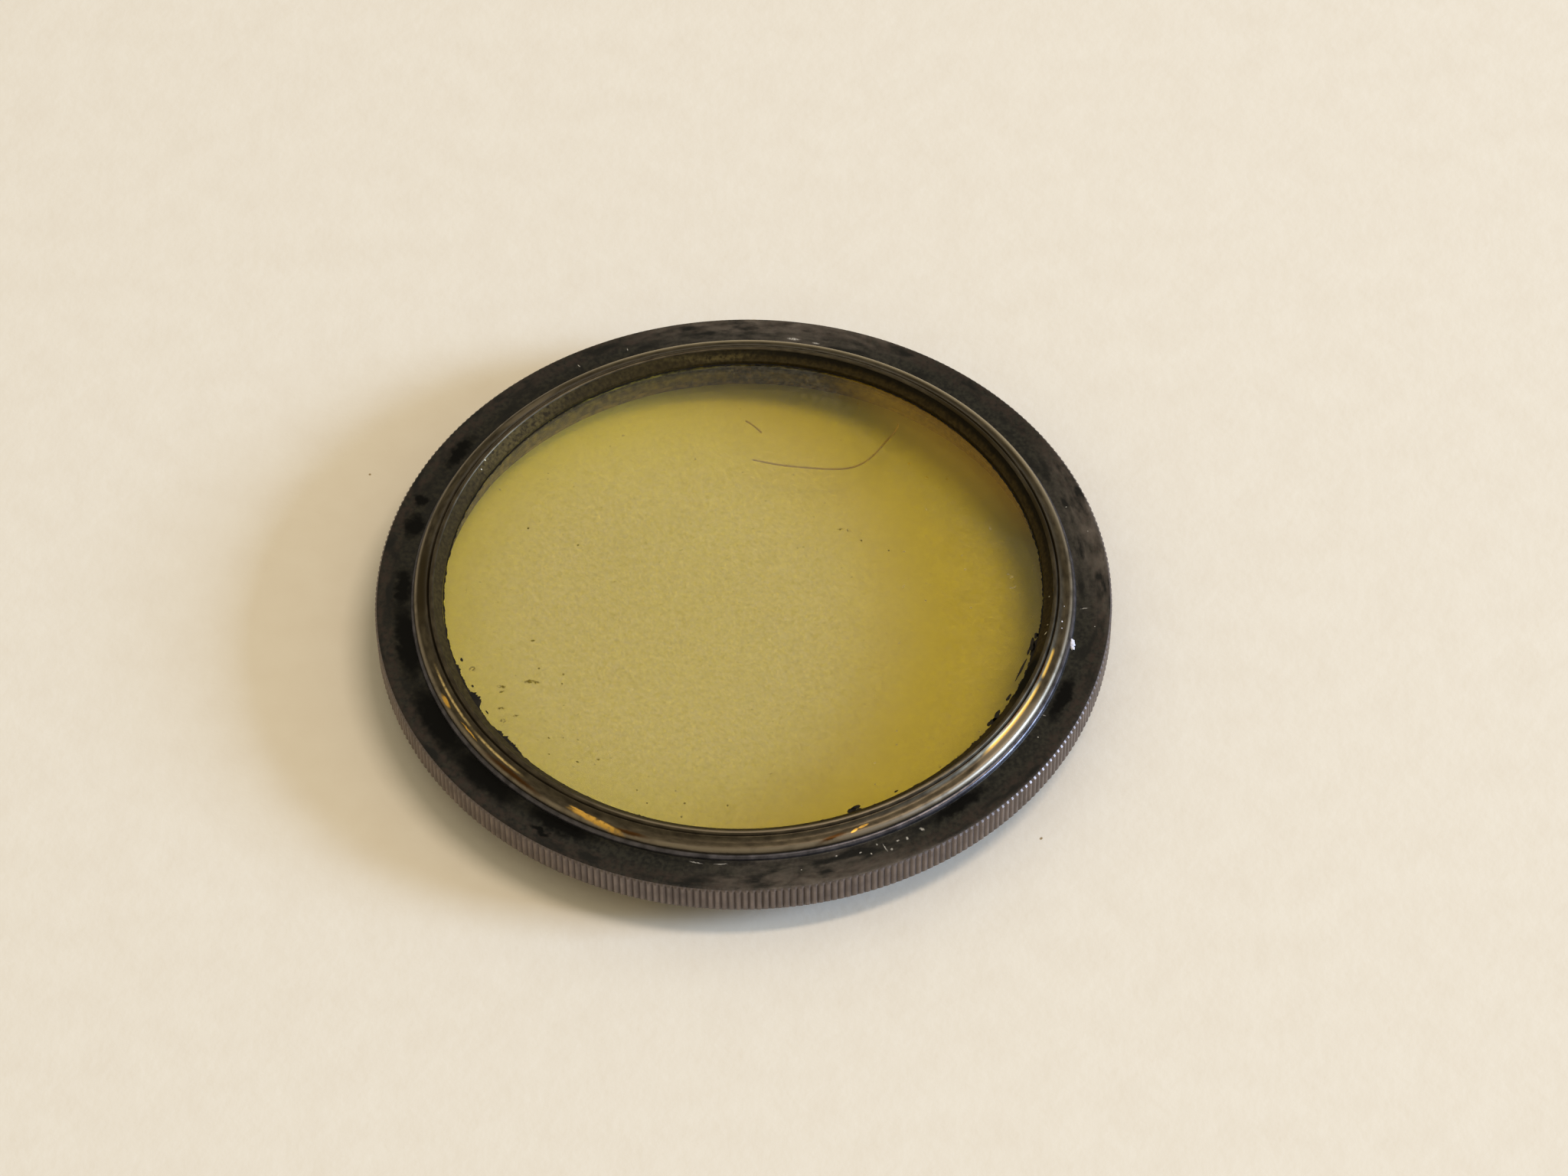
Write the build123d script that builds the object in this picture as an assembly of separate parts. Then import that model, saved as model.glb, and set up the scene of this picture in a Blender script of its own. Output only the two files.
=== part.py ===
from build123d import *
import os
from math import atan2, cos, pi, radians, sin

# Round colour filter for a camera lens, lying on the end of its screw thread.
# Millimetres. The optical axis is Z, the front of the filter faces +Z, and the
# origin is the centre of the rear end face, where the thread rests on a table.

# Nominal size of the screw thread. Every other diameter follows it through a named wall
thread_diameter = 40.5

# Flange: the finger grip, straight knurled all round
flange_overhang = 1.6
flange_thickness = 2.0
flange_top_chamfer = 0.3
flange_bottom_chamfer = 0.25
knurl_pitch = 0.4
knurl_depth = 0.13
knurl_tip_land = 0.12

# Rear screw spigot, plain at the thread's outside diameter
spigot_wall = 1.44
spigot_length = 1.8
spigot_lead_chamfer = 0.25
relief_width = 0.4
relief_depth = 0.35
relief_face_depth = 0.1
relief_face_reach = 0.2

# Front collar: a low wall, a rounded shoulder, a domed top and a beaded lip
collar_wall = 0.84
collar_wall_height = 0.34
shoulder_radius = 0.4
shoulder_sweep = 60.0
dome_crown = 0.03
bead_inset = 0.11
bead_height = 1.12
bead_width = 0.3
bead_crown = 0.07
bead_over_dome = 0.14
bead_groove_width = 0.12
bead_groove_depth = 0.07
lip_overlap = 1.0
lip_edge_height = 0.57
lip_edge_thickness = 0.25

# Coloured glass, dropped in from behind against the underside of the lip
glass_thickness = 2.0
glass_bevel = 0.25
glass_edge_clearance = 0.08

# Split spring ring that holds the glass from behind
ring_height = 0.9
ring_width = 0.81
ring_groove_depth = 0.25
ring_groove_clearance = 0.05
ring_gap = 1.1
ring_edge_chamfer = 0.1
bore_mouth_chamfer = 0.2

# Worked out from the sizes above
thread_radius = thread_diameter / 2
flange_radius = thread_radius + flange_overhang
bore_radius = thread_radius - spigot_wall
collar_radius = bore_radius + collar_wall
bead_radius = bore_radius - bead_inset
glass_radius = bore_radius - glass_edge_clearance
lip_opening_radius = glass_radius - lip_overlap
groove_radius = bore_radius + ring_groove_depth

flange_bottom_z = spigot_length
flange_top_z = flange_bottom_z + flange_thickness
lip_edge_z = flange_top_z + lip_edge_height
glass_top_z = lip_edge_z - lip_edge_thickness
glass_bottom_z = glass_top_z - glass_thickness
ring_bottom_z = glass_bottom_z - ring_height
bead_top_z = flange_top_z + bead_height
bead_foot_z = bead_top_z - bead_crown
dome_end_z = bead_top_z - bead_over_dome


def turned(lines):
    """Revolve a closed outline of radius and height about the optical axis."""
    outline = make_face(Plane.XZ * Curve(lines))
    return revolve(outline, Axis.Z)


def shoulder_point(angle):
    """Point on the collar's rounded shoulder, at an angle up from the horizontal."""
    centre_x = collar_radius - shoulder_radius
    centre_z = flange_top_z + collar_wall_height
    a = radians(angle)
    return (centre_x + shoulder_radius * cos(a), centre_z + shoulder_radius * sin(a))


def collar_outline():
    """Outer line of the front collar, from its foot up and over to the lip's edge."""
    foot = (collar_radius, flange_top_z)
    wall_top = shoulder_point(0)
    shoulder_mid = shoulder_point(shoulder_sweep / 2)
    shoulder_end = shoulder_point(shoulder_sweep)

    # A fine groove parts the dome from the bead that runs round the lip
    bead_foot = (bead_radius, bead_foot_z)
    groove_floor = (bead_radius + bead_groove_width / 2, dome_end_z - bead_groove_depth)
    dome_end = (bead_radius + bead_groove_width, dome_end_z)
    dome_run = atan2(dome_end[1] - shoulder_end[1], dome_end[0] - shoulder_end[0])
    dome_mid = (
        (shoulder_end[0] + dome_end[0]) / 2 + dome_crown * sin(dome_run),
        (shoulder_end[1] + dome_end[1]) / 2 - dome_crown * cos(dome_run),
    )
    bead_crest = (bead_radius - bead_width / 2, bead_top_z)
    bead_inner = (bead_radius - bead_width, bead_foot_z)
    lip_edge = (lip_opening_radius, lip_edge_z)
    return [
        Line(foot, wall_top),
        ThreePointArc(wall_top, shoulder_mid, shoulder_end),
        ThreePointArc(shoulder_end, dome_mid, dome_end),
        Polyline(dome_end, groove_floor, bead_foot),
        ThreePointArc(bead_foot, bead_crest, bead_inner),
        Line(bead_inner, lip_edge),
    ]


def rear_outline():
    """Line from the lip's edge down the bore, round the spigot and back to the flange."""
    groove_top_z = glass_bottom_z + ring_groove_clearance
    groove_bottom_z = ring_bottom_z - ring_groove_clearance
    relief_radius = thread_radius - relief_depth
    relief_bottom_z = flange_bottom_z - relief_width
    relief_start_z = relief_bottom_z - relief_depth

    # The relief also cuts into the flange, so that a lens rim can seat flat round the thread
    relief_top_z = flange_bottom_z + relief_face_depth
    seat_inner_radius = thread_radius + relief_face_reach
    return [
        Polyline(
            (lip_opening_radius, lip_edge_z),
            (lip_opening_radius, glass_top_z),
            (bore_radius, glass_top_z),
            (bore_radius, groove_top_z),
            (groove_radius, groove_top_z),
            (groove_radius, groove_bottom_z),
            (bore_radius, groove_bottom_z),
            (bore_radius, bore_mouth_chamfer),
            (bore_radius + bore_mouth_chamfer, 0),
            (thread_radius - spigot_lead_chamfer, 0),
            (thread_radius, spigot_lead_chamfer),
            (thread_radius, relief_start_z),
            (relief_radius, relief_bottom_z),
            (relief_radius, relief_top_z),
            (seat_inner_radius, relief_top_z),
            (seat_inner_radius, flange_bottom_z),
            (flange_radius - flange_bottom_chamfer, flange_bottom_z),
        )
    ]


def flange_outline():
    """Flange edge as two 45 degree cones that meet outside the knurl, then the top."""
    low = (flange_radius - flange_bottom_chamfer, flange_bottom_z)
    high = (flange_radius - flange_top_chamfer, flange_top_z)
    reach = (flange_thickness + low[0] - high[0]) / 2
    point = (high[0] + reach, flange_top_z - reach)
    return [Polyline(low, point, high, (collar_radius, flange_top_z))]


def knurl_section():
    """Toothed outline of the flange: V grooves with a narrow worn land between them."""
    quarter_count = round(pi * flange_radius / knurl_pitch / 2)
    tooth_count = 4 * quarter_count
    step = 2 * pi / tooth_count
    half_land = knurl_tip_land / 2 / flange_radius
    root_radius = flange_radius - knurl_depth
    corners = []
    for tooth in range(tooth_count):
        middle = tooth * step
        for radius, angle in (
            (flange_radius, middle - half_land),
            (flange_radius, middle + half_land),
            (root_radius, middle + step / 2),
        ):
            corners.append((radius * cos(angle), radius * sin(angle)))
    return make_face(Polyline(*corners, close=True))


def make_mount_ring():
    """Turned metal mount: threaded spigot, knurled flange and front collar in one piece."""
    body = turned(flange_outline() + collar_outline() + rear_outline())
    grip = extrude(knurl_section(), amount=bead_top_z + flange_thickness)
    return body & grip


def make_filter_glass():
    """Flat coloured disc with a ground bevel round both faces."""
    face_radius = glass_radius - glass_bevel
    return turned(
        [
            Polyline(
                (0, glass_bottom_z),
                (face_radius, glass_bottom_z),
                (glass_radius, glass_bottom_z + glass_bevel),
                (glass_radius, glass_top_z - glass_bevel),
                (face_radius, glass_top_z),
                (0, glass_top_z),
                close=True,
            )
        ]
    )


def make_retaining_ring():
    """Spring ring of square section, split at +Y so that it can be squeezed and sprung in."""
    outer = groove_radius - ring_groove_clearance
    inner = outer - ring_width
    chamfer = ring_edge_chamfer
    hoop = turned(
        [
            Polyline(
                (inner + chamfer, ring_bottom_z),
                (outer, ring_bottom_z),
                (outer, glass_bottom_z),
                (inner + chamfer, glass_bottom_z),
                (inner, glass_bottom_z - chamfer),
                (inner, ring_bottom_z + chamfer),
                close=True,
            )
        ]
    )
    middle_z = (glass_bottom_z + ring_bottom_z) / 2
    slot = Pos(0, bore_radius, middle_z) * Box(ring_gap, bore_radius, 2 * ring_height)
    return hoop - slot


os.makedirs("parts", exist_ok=True)
pieces = {
    "mount_ring": make_mount_ring(),
    "filter_glass": make_filter_glass(),
    "retaining_ring": make_retaining_ring(),
}
for node, shape in pieces.items():
    export_step(shape, f"parts/{node}.step")
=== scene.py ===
"""Yellow lens filter: finishes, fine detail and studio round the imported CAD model."""

import logging
import math
from dataclasses import dataclass
from enum import Enum

import bmesh
import bpy
from mathutils import Matrix, Vector, noise

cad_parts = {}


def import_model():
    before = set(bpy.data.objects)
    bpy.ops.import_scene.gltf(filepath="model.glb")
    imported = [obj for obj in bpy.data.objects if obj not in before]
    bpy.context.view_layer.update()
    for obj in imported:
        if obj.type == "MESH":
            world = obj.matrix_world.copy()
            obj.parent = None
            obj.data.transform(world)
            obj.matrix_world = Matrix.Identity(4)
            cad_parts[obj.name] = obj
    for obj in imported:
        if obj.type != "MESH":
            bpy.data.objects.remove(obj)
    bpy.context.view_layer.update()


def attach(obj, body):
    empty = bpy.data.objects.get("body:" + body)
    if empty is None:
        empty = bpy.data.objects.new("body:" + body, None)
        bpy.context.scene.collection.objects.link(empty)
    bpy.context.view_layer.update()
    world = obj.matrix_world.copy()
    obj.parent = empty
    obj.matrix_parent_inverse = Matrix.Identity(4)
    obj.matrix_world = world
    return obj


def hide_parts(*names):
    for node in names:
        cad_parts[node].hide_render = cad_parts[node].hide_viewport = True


MM = 0.001
LOG = logging.getLogger("lens_filter")


class Zone(Enum):
    """Stretches of the mount's outline, each with a finish of its own."""

    KNURL = 0
    FLANGE = 1
    WALL = 2
    COLLAR = 3
    LIP = 4
    BORE = 5
    SPIGOT = 6


def linear(code: str) -> tuple[float, float, float, float]:
    """Turn a colour from sRGB hex to linear light.

    Args:
        code: six hex digits, with or without a leading hash.

    Returns:
        Linear red, green, blue and an alpha of 1.
    """
    digits = code.lstrip("#")
    shades = [int(digits[i : i + 2], 16) / 255 for i in (0, 2, 4)]
    light = [s / 12.92 if s <= 0.04045 else ((s + 0.055) / 1.055) ** 2.4 for s in shades]
    return (light[0], light[1], light[2], 1.0)


def add_node(
    tree: bpy.types.NodeTree, kind: str, inputs: dict | None = None, **settings: object
) -> bpy.types.Node:
    """Add one node to a tree, with its settings and links.

    Args:
        tree: node tree that takes the node.
        kind: type of the node, without the word ShaderNode in front.
        inputs: name or index of an input to its value, or to the socket that feeds it.
        settings: properties set on the node itself.

    Returns:
        The new node.
    """
    node = tree.nodes.new("ShaderNode" + kind)
    for name, value in settings.items():
        setattr(node, name, value)
    for key, value in (inputs or {}).items():
        if isinstance(value, bpy.types.NodeSocket):
            tree.links.new(value, node.inputs[key])
        else:
            node.inputs[key].default_value = value
    return node


def arc(
    centre: tuple[float, float], radius: float, start: float, end: float, steps: int
) -> list[tuple[float, float]]:
    """Points along a round stretch of an outline.

    Args:
        centre: middle of the arc, as radius from the axis and height.
        radius: radius of the arc.
        start: first angle in degrees, from the outward direction.
        end: last angle in degrees.
        steps: number of straight steps.

    Returns:
        The points, first and last included.
    """
    turns = [math.radians(start + (end - start) * i / steps) for i in range(steps + 1)]
    return [(centre[0] + radius * math.cos(a), centre[1] + radius * math.sin(a)) for a in turns]


def turn_line(
    bm: bmesh.types.BMesh,
    points: list[tuple[float, float]],
    steps: int,
    start: float,
    sweep: float,
    material: int = 0,
    closed: bool = False,
) -> None:
    """Turn a line of radius and height through an angle about the optical axis.

    Args:
        bm: mesh that takes the turned surface.
        points: radius and height of each point, in millimetres.
        steps: columns of faces.
        start: angle of the line, in radians.
        sweep: angle turned through, in radians.
        material: material index of the new faces.
        closed: True where the line is a closed section.
    """
    before = len(bm.faces)
    corners = [
        bm.verts.new((r * MM * math.cos(start), r * MM * math.sin(start), z * MM))
        for r, z in points
    ]
    pairs = list(zip(corners, corners[1:]))
    if closed:
        pairs.append((corners[-1], corners[0]))
    edges = [bm.edges.new(pair) for pair in pairs]
    bmesh.ops.spin(
        bm, geom=corners + edges, cent=(0, 0, 0), axis=(0, 0, 1), angle=sweep, steps=steps
    )
    bm.faces.ensure_lookup_table()
    for face in bm.faces[before:]:
        face.material_index = material


def repeat_round(bm: bmesh.types.BMesh, doublings: int) -> None:
    """Repeat one sector of a turned mesh until it goes all the way round.

    Args:
        bm: mesh that holds one sector of a turn halved that many times.
        doublings: how often the sector is doubled.
    """
    for done in range(doublings):
        angle = math.tau / 2 ** (doublings - done)
        geometry = list(bm.verts) + list(bm.edges) + list(bm.faces)
        copy = bmesh.ops.duplicate(bm, geom=geometry)
        moved = [v for v in copy["geom"] if isinstance(v, bmesh.types.BMVert)]
        bmesh.ops.rotate(bm, verts=moved, cent=(0, 0, 0), matrix=Matrix.Rotation(angle, 3, "Z"))
    bmesh.ops.remove_doubles(bm, verts=bm.verts, dist=0.0005 * MM)


def shade(bm: bmesh.types.BMesh, sharp_degrees: float = 30.0) -> None:
    """Shade a mesh smooth apart from edges that turn more than an angle."""
    limit = math.radians(sharp_degrees)
    for face in bm.faces:
        face.smooth = True
    for edge in bm.edges:
        edge.smooth = len(edge.link_faces) == 2 and edge.calc_face_angle(0.0) < limit


def piece_from(
    bm: bmesh.types.BMesh,
    name: str,
    materials: list[bpy.types.Material],
    stands_for: tuple[str, ...] = (),
) -> bpy.types.Object:
    """Make a finished piece of the filter from a mesh in its final place.

    Args:
        bm: the mesh, in metres in the row frame. It is freed.
        name: name of the piece.
        materials: finishes, in the order of the faces' material indices.
        stands_for: CAD nodes that the piece replaces.

    Returns:
        The new object, riding on the filter's body.
    """
    mesh = bpy.data.meshes.new(name)
    bm.to_mesh(mesh)
    bm.free()
    for material in materials:
        mesh.materials.append(material)
    piece = bpy.data.objects.new(name, mesh)
    bpy.context.scene.collection.objects.link(piece)
    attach(piece, "root")
    if stands_for:
        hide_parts(*stands_for)
    LOG.info("%s: %d faces", name, len(mesh.polygons))
    return piece


def new_material(name: str) -> tuple[bpy.types.Material, bpy.types.NodeTree, bpy.types.Node]:
    """Start an empty node material.

    Args:
        name: name of the finish.

    Returns:
        The material, its tree and its output node.
    """
    material = bpy.data.materials.new(name)
    material.use_nodes = True
    tree = material.node_tree
    tree.nodes.clear()
    return material, tree, add_node(tree, "OutputMaterial")


def mottle(
    tree: bpy.types.NodeTree,
    where: bpy.types.NodeSocket,
    size: float,
    low: float,
    high: float,
    detail: float = 3.0,
    draw: float = 0.0,
) -> bpy.types.NodeSocket:
    """Patchy pattern from 0 to 1 with borders as soft as low and high are apart.

    Args:
        tree: node tree of the finish.
        where: coordinates, in metres.
        size: width of the patches in millimetres.
        low: cloud value at which the pattern leaves 0.
        high: cloud value at which it reaches 1.
        detail: octaves of finer break-up.
        draw: picks another cloud of the same kind.

    Returns:
        The pattern's socket.
    """
    cloud = add_node(
        tree,
        "TexNoise",
        {"Vector": where, "W": draw, "Scale": 1 / (size * MM), "Detail": detail},
        noise_dimensions="4D",
    )
    return add_node(
        tree, "MapRange", {"Value": cloud.outputs[0], "From Min": low, "From Max": high}
    ).outputs[0]


def blend_colour(
    tree: bpy.types.NodeTree,
    share: bpy.types.NodeSocket | float,
    first: bpy.types.NodeSocket | str,
    second: bpy.types.NodeSocket | str,
) -> bpy.types.NodeSocket:
    """Colour that goes from first to second as share goes from 0 to 1."""
    ends = [linear(c) if isinstance(c, str) else c for c in (first, second)]
    return add_node(
        tree, "Mix", {0: share, 6: ends[0], 7: ends[1]}, data_type="RGBA"
    ).outputs[2]


def times(
    tree: bpy.types.NodeTree,
    first: bpy.types.NodeSocket | float,
    second: bpy.types.NodeSocket | float,
) -> bpy.types.NodeSocket:
    """Product of two patterns."""
    return add_node(tree, "Math", {0: first, 1: second}, operation="MULTIPLY").outputs[0]


def radius_of(tree: bpy.types.NodeTree, where: bpy.types.NodeSocket) -> bpy.types.NodeSocket:
    """Distance from the optical axis, in metres."""
    flat = add_node(
        tree, "VectorMath", {0: where, 1: (1.0, 1.0, 0.0)}, operation="MULTIPLY"
    ).outputs[0]
    return add_node(tree, "VectorMath", {0: flat}, operation="LENGTH").outputs["Value"]


@dataclass(frozen=True)
class Mark:
    """Small oval place on the filter.

    Sizes are in millimetres. The angle is in degrees from +X towards +Y. The oval's half width is
    along away from the axis and across round it, before it is turned.
    """

    radius: float
    angle: float
    along: float
    across: float
    turn: float = 0.0

    def place(self) -> tuple[float, float]:
        """Position on the filter, in metres."""
        a = math.radians(self.angle)
        return (self.radius * MM * math.cos(a), self.radius * MM * math.sin(a))


def roughed(
    tree: bpy.types.NodeTree, where: bpy.types.NodeSocket, size: float, amount: float
) -> bpy.types.NodeSocket:
    """Coordinates pushed about, so that patterns drawn with them get ragged borders.

    Args:
        tree: node tree of the finish.
        where: coordinates, in metres.
        size: width of one wave of the border in millimetres.
        amount: how far the border moves in millimetres.

    Returns:
        The new coordinates' socket.
    """
    cloud = add_node(
        tree, "TexNoise", {"Vector": where, "Scale": 1 / (size * MM), "Detail": 3.0}
    ).outputs["Color"]
    push = add_node(
        tree,
        "VectorMath",
        {0: cloud, 1: (2 * amount * MM,) * 3, 2: (-amount * MM,) * 3},
        operation="MULTIPLY_ADD",
    ).outputs[0]
    return add_node(tree, "VectorMath", {0: where, 1: push}).outputs[0]


def marked(
    tree: bpy.types.NodeTree,
    where: bpy.types.NodeSocket,
    marks: tuple[Mark, ...],
    core: float = 0.5,
) -> bpy.types.NodeSocket:
    """Pattern that is 1 inside a few marks and 0 outside them.

    Args:
        tree: node tree of the finish.
        where: coordinates, in metres.
        marks: the marks.
        core: share of each mark that is whole before it fades.

    Returns:
        The pattern's socket.
    """
    total = None
    for mark in marks:
        oval = add_node(
            tree,
            "Mapping",
            {
                "Vector": where,
                "Location": (*mark.place(), 0.0),
                "Rotation": (0.0, 0.0, math.radians(mark.angle + mark.turn)),
                "Scale": (mark.along * MM, mark.across * MM, 1.0),
            },
            vector_type="TEXTURE",
        ).outputs[0]
        away = add_node(tree, "VectorMath", {0: oval}, operation="LENGTH").outputs["Value"]
        one = add_node(
            tree,
            "MapRange",
            {"Value": away, "From Min": core, "From Max": 1.0, "To Min": 1.0, "To Max": 0.0},
            interpolation_type="SMOOTHSTEP",
        ).outputs[0]
        total = one if total is None else larger(tree, total, one)
    return total


def ring_band(
    tree: bpy.types.NodeTree, radius: bpy.types.NodeSocket, middle: float, reach: float
) -> bpy.types.NodeSocket:
    """Pattern that is 1 on a circle about the axis and falls to 0 on both sides of it.

    Args:
        tree: node tree of the finish.
        radius: distance from the axis, in metres.
        middle: radius of the circle in millimetres.
        reach: distance at which the pattern is gone, in millimetres.

    Returns:
        The pattern's socket.
    """
    off = add_node(tree, "Math", {0: radius, 1: middle * MM}, operation="SUBTRACT").outputs[0]
    off = add_node(tree, "Math", {0: off}, operation="ABSOLUTE").outputs[0]
    return add_node(
        tree,
        "MapRange",
        {"Value": off, "From Min": 0.0, "From Max": reach * MM, "To Min": 1.0, "To Max": 0.0},
        interpolation_type="SMOOTHSTEP",
    ).outputs[0]


def drawn_round(
    tree: bpy.types.NodeTree, where: bpy.types.NodeSocket, middle: float, stretch: float
) -> bpy.types.NodeSocket:
    """Coordinates whose patterns come out longer round the axis than across it.

    Args:
        tree: node tree of the finish.
        where: coordinates, in metres.
        middle: radius in millimetres at which places stay where they are.
        stretch: how much longer the patterns come out.

    Returns:
        The new coordinates' socket.
    """
    radius = radius_of(tree, where)
    moved = add_node(
        tree,
        "Math",
        {0: radius, 1: stretch, 2: middle * (1 - stretch) * MM},
        operation="MULTIPLY_ADD",
    ).outputs[0]
    flat = add_node(
        tree, "VectorMath", {0: where, 1: (1.0, 1.0, 0.0)}, operation="MULTIPLY"
    ).outputs[0]
    outward = add_node(tree, "VectorMath", {0: flat}, operation="NORMALIZE").outputs[0]
    return add_node(
        tree, "VectorMath", {0: outward, "Scale": moved}, operation="SCALE"
    ).outputs[0]


def larger(
    tree: bpy.types.NodeTree, first: bpy.types.NodeSocket, second: bpy.types.NodeSocket
) -> bpy.types.NodeSocket:
    """Larger of two patterns."""
    return add_node(tree, "Math", {0: first, 1: second}, operation="MAXIMUM").outputs[0]


@dataclass(frozen=True)
class BlackedFlange:
    """Chemically blacked brass with old lacquer on it: near black, satin, dusty in patches.

    The outer edge has gone brown, and a few chips and scratches show pale metal.
    """

    name: str = "blacked_brass_lacquered"
    black: str = "#080807"
    olive: str = "#25231B"
    brown: str = "#2B201A"
    deep: str = "#030303"
    dusty: str = "#5C5248"
    bare: str = "#C4BDB0"
    roughness: float = 0.4
    gloss: float = 0.3
    brown_radii: tuple[float, float] = (20.6, 21.1)
    dusty_places: tuple[Mark, ...] = (
        Mark(24.0, 85.0, 6.5, 22.0),
        Mark(24.0, -80.0, 6.5, 13.0),
        Mark(24.0, 12.0, 6.0, 14.0),
    )
    deep_places: tuple[Mark, ...] = (
        Mark(19.95, -122.0, 0.95, 3.2),
        Mark(20.1, -138.0, 1.2, 3.8),
        Mark(20.1, -152.0, 1.3, 4.2),
        Mark(20.1, -170.0, 1.0, 4.2),
        Mark(20.4, 164.5, 0.8, 1.3),
        Mark(20.7, 159.0, 0.6, 0.6),
        Mark(20.5, 147.0, 0.7, 2.0),
        Mark(20.2, 178.0, 0.7, 2.0),
        Mark(20.1, -52.0, 0.6, 2.8),
        Mark(20.3, -24.0, 0.6, 2.4),
        Mark(21.0, -124.0, 0.3, 1.0),
    )
    chips: tuple[Mark, ...] = (
        Mark(20.2, -4.3, 0.32, 0.045, 12.0),
        Mark(19.85, -28.5, 0.14, 0.04),
        Mark(20.5, -67.0, 0.4, 0.05, 4.0),
        Mark(20.75, -66.2, 0.12, 0.1),
        Mark(20.1, -68.0, 0.1, 0.06),
        Mark(20.35, -64.6, 0.08, 0.12),
        Mark(20.6, -69.5, 0.1, 0.06),
        Mark(20.3, -71.0, 0.06, 0.1),
        Mark(20.3, -60.0, 0.22, 0.12, 30.0),
        Mark(20.45, -63.0, 0.16, 0.1, -20.0),
        Mark(19.93, -94.0, 0.05, 0.5, 4.0),
        Mark(19.95, -98.0, 0.05, 0.5, -6.0),
        Mark(20.65, 119.0, 0.18, 0.04, 10.0),
        Mark(20.6, 110.0, 0.14, 0.04, -14.0),
        Mark(20.3, 81.0, 0.12, 0.5),
        Mark(20.2, 77.0, 0.08, 0.3),
        Mark(20.9, -8.0, 0.06, 0.05),
        Mark(21.1, 12.0, 0.07, 0.05),
        Mark(20.4, 18.0, 0.05, 0.06),
        Mark(20.3, -33.0, 0.06, 0.07),
        Mark(20.1, -75.0, 0.07, 0.1),
        Mark(20.6, -81.0, 0.06, 0.05),
    )

    def build(self) -> bpy.types.Material:
        """Build the finish."""
        material, tree, out = new_material(self.name)
        where = add_node(tree, "TexCoord").outputs["Object"]
        ragged = roughed(tree, where, 0.8, 0.25)
        fine = mottle(tree, where, 0.24, 0.38, 0.62, detail=4.0, draw=5.0)
        base = blend_colour(tree, fine, self.black, self.olive)
        outward = add_node(
            tree,
            "MapRange",
            {
                "Value": radius_of(tree, ragged),
                "From Min": self.brown_radii[0] * MM,
                "From Max": self.brown_radii[1] * MM,
            },
        ).outputs[0]
        speckled = mottle(tree, where, 0.3, 0.35, 0.65, draw=2.0)
        base = blend_colour(tree, times(tree, outward, speckled), base, self.brown)
        veil = marked(tree, ragged, self.dusty_places, core=0.3)
        round_it = drawn_round(tree, where, 20.7, 3.0)
        patches = mottle(tree, round_it, 1.3, 0.3, 0.68, detail=6.0, draw=4.0)
        base = blend_colour(tree, times(tree, veil, patches), base, self.dusty)
        torn = roughed(tree, where, 0.5, 0.5)
        deep = marked(tree, torn, self.deep_places, core=0.4)
        blots = mottle(tree, round_it, 2.2, 0.52, 0.64, detail=5.0, draw=3.0)
        base = blend_colour(tree, larger(tree, deep, blots), base, self.deep)
        crumbly = times(
            tree,
            marked(tree, roughed(tree, where, 0.15, 0.05), self.chips, core=0.2),
            mottle(tree, where, 0.1, 0.3, 0.6, draw=6.0),
        )
        base = blend_colour(tree, crumbly, base, self.bare)
        gloss = add_node(
            tree, "MapRange", {"Value": deep, "To Min": self.gloss, "To Max": self.gloss / 3}
        ).outputs[0]
        bump = add_node(
            tree, "Bump", {"Height": fine, "Strength": 0.4, "Distance": 0.015 * MM}
        ).outputs[0]
        surface = add_node(
            tree,
            "BsdfPrincipled",
            {
                "Base Color": base,
                "Roughness": self.roughness,
                "Specular IOR Level": gloss,
                "Normal": bump,
            },
        )
        tree.links.new(surface.outputs[0], out.inputs["Surface"])
        return material


@dataclass(frozen=True)
class BlackedKnurl:
    """Blacked brass rubbed by fingers: purplish grey, a little paler on the ridges."""

    name: str = "blacked_brass_rubbed"
    groove: str = "#645B58"
    ridge: str = "#867A75"
    roughness: float = 0.42
    ridge_radius: float = 21.85
    groove_depth: float = 0.11

    def build(self) -> bpy.types.Material:
        """Build the finish."""
        material, tree, out = new_material(self.name)
        where = add_node(tree, "TexCoord").outputs["Object"]
        worn = add_node(
            tree,
            "MapRange",
            {
                "Value": radius_of(tree, where),
                "From Min": (self.ridge_radius - self.groove_depth) * MM,
                "From Max": self.ridge_radius * MM,
            },
        ).outputs[0]
        patchy = mottle(tree, where, 0.9, 0.3, 0.7, draw=2.0)
        base = blend_colour(tree, times(tree, worn, patchy), self.groove, self.ridge)
        surface = add_node(
            tree,
            "BsdfPrincipled",
            {"Base Color": base, "Metallic": 0.75, "Roughness": self.roughness},
        )
        tree.links.new(surface.outputs[0], out.inputs["Surface"])
        return material


@dataclass(frozen=True)
class BluedWall:
    """Blacked brass at the foot of the collar: satin, with a cold blue-grey sheen."""

    name: str = "blacked_brass_blue_grey"
    dark: str = "#3C3A3E"
    pale: str = "#605D63"
    roughness: float = 0.3

    def build(self) -> bpy.types.Material:
        """Build the finish."""
        material, tree, out = new_material(self.name)
        where = add_node(tree, "TexCoord").outputs["Object"]
        base = blend_colour(tree, mottle(tree, where, 0.7, 0.35, 0.65), self.dark, self.pale)
        surface = add_node(
            tree,
            "BsdfPrincipled",
            {"Base Color": base, "Metallic": 0.7, "Roughness": self.roughness},
        )
        tree.links.new(surface.outputs[0], out.inputs["Surface"])
        return material


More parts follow.
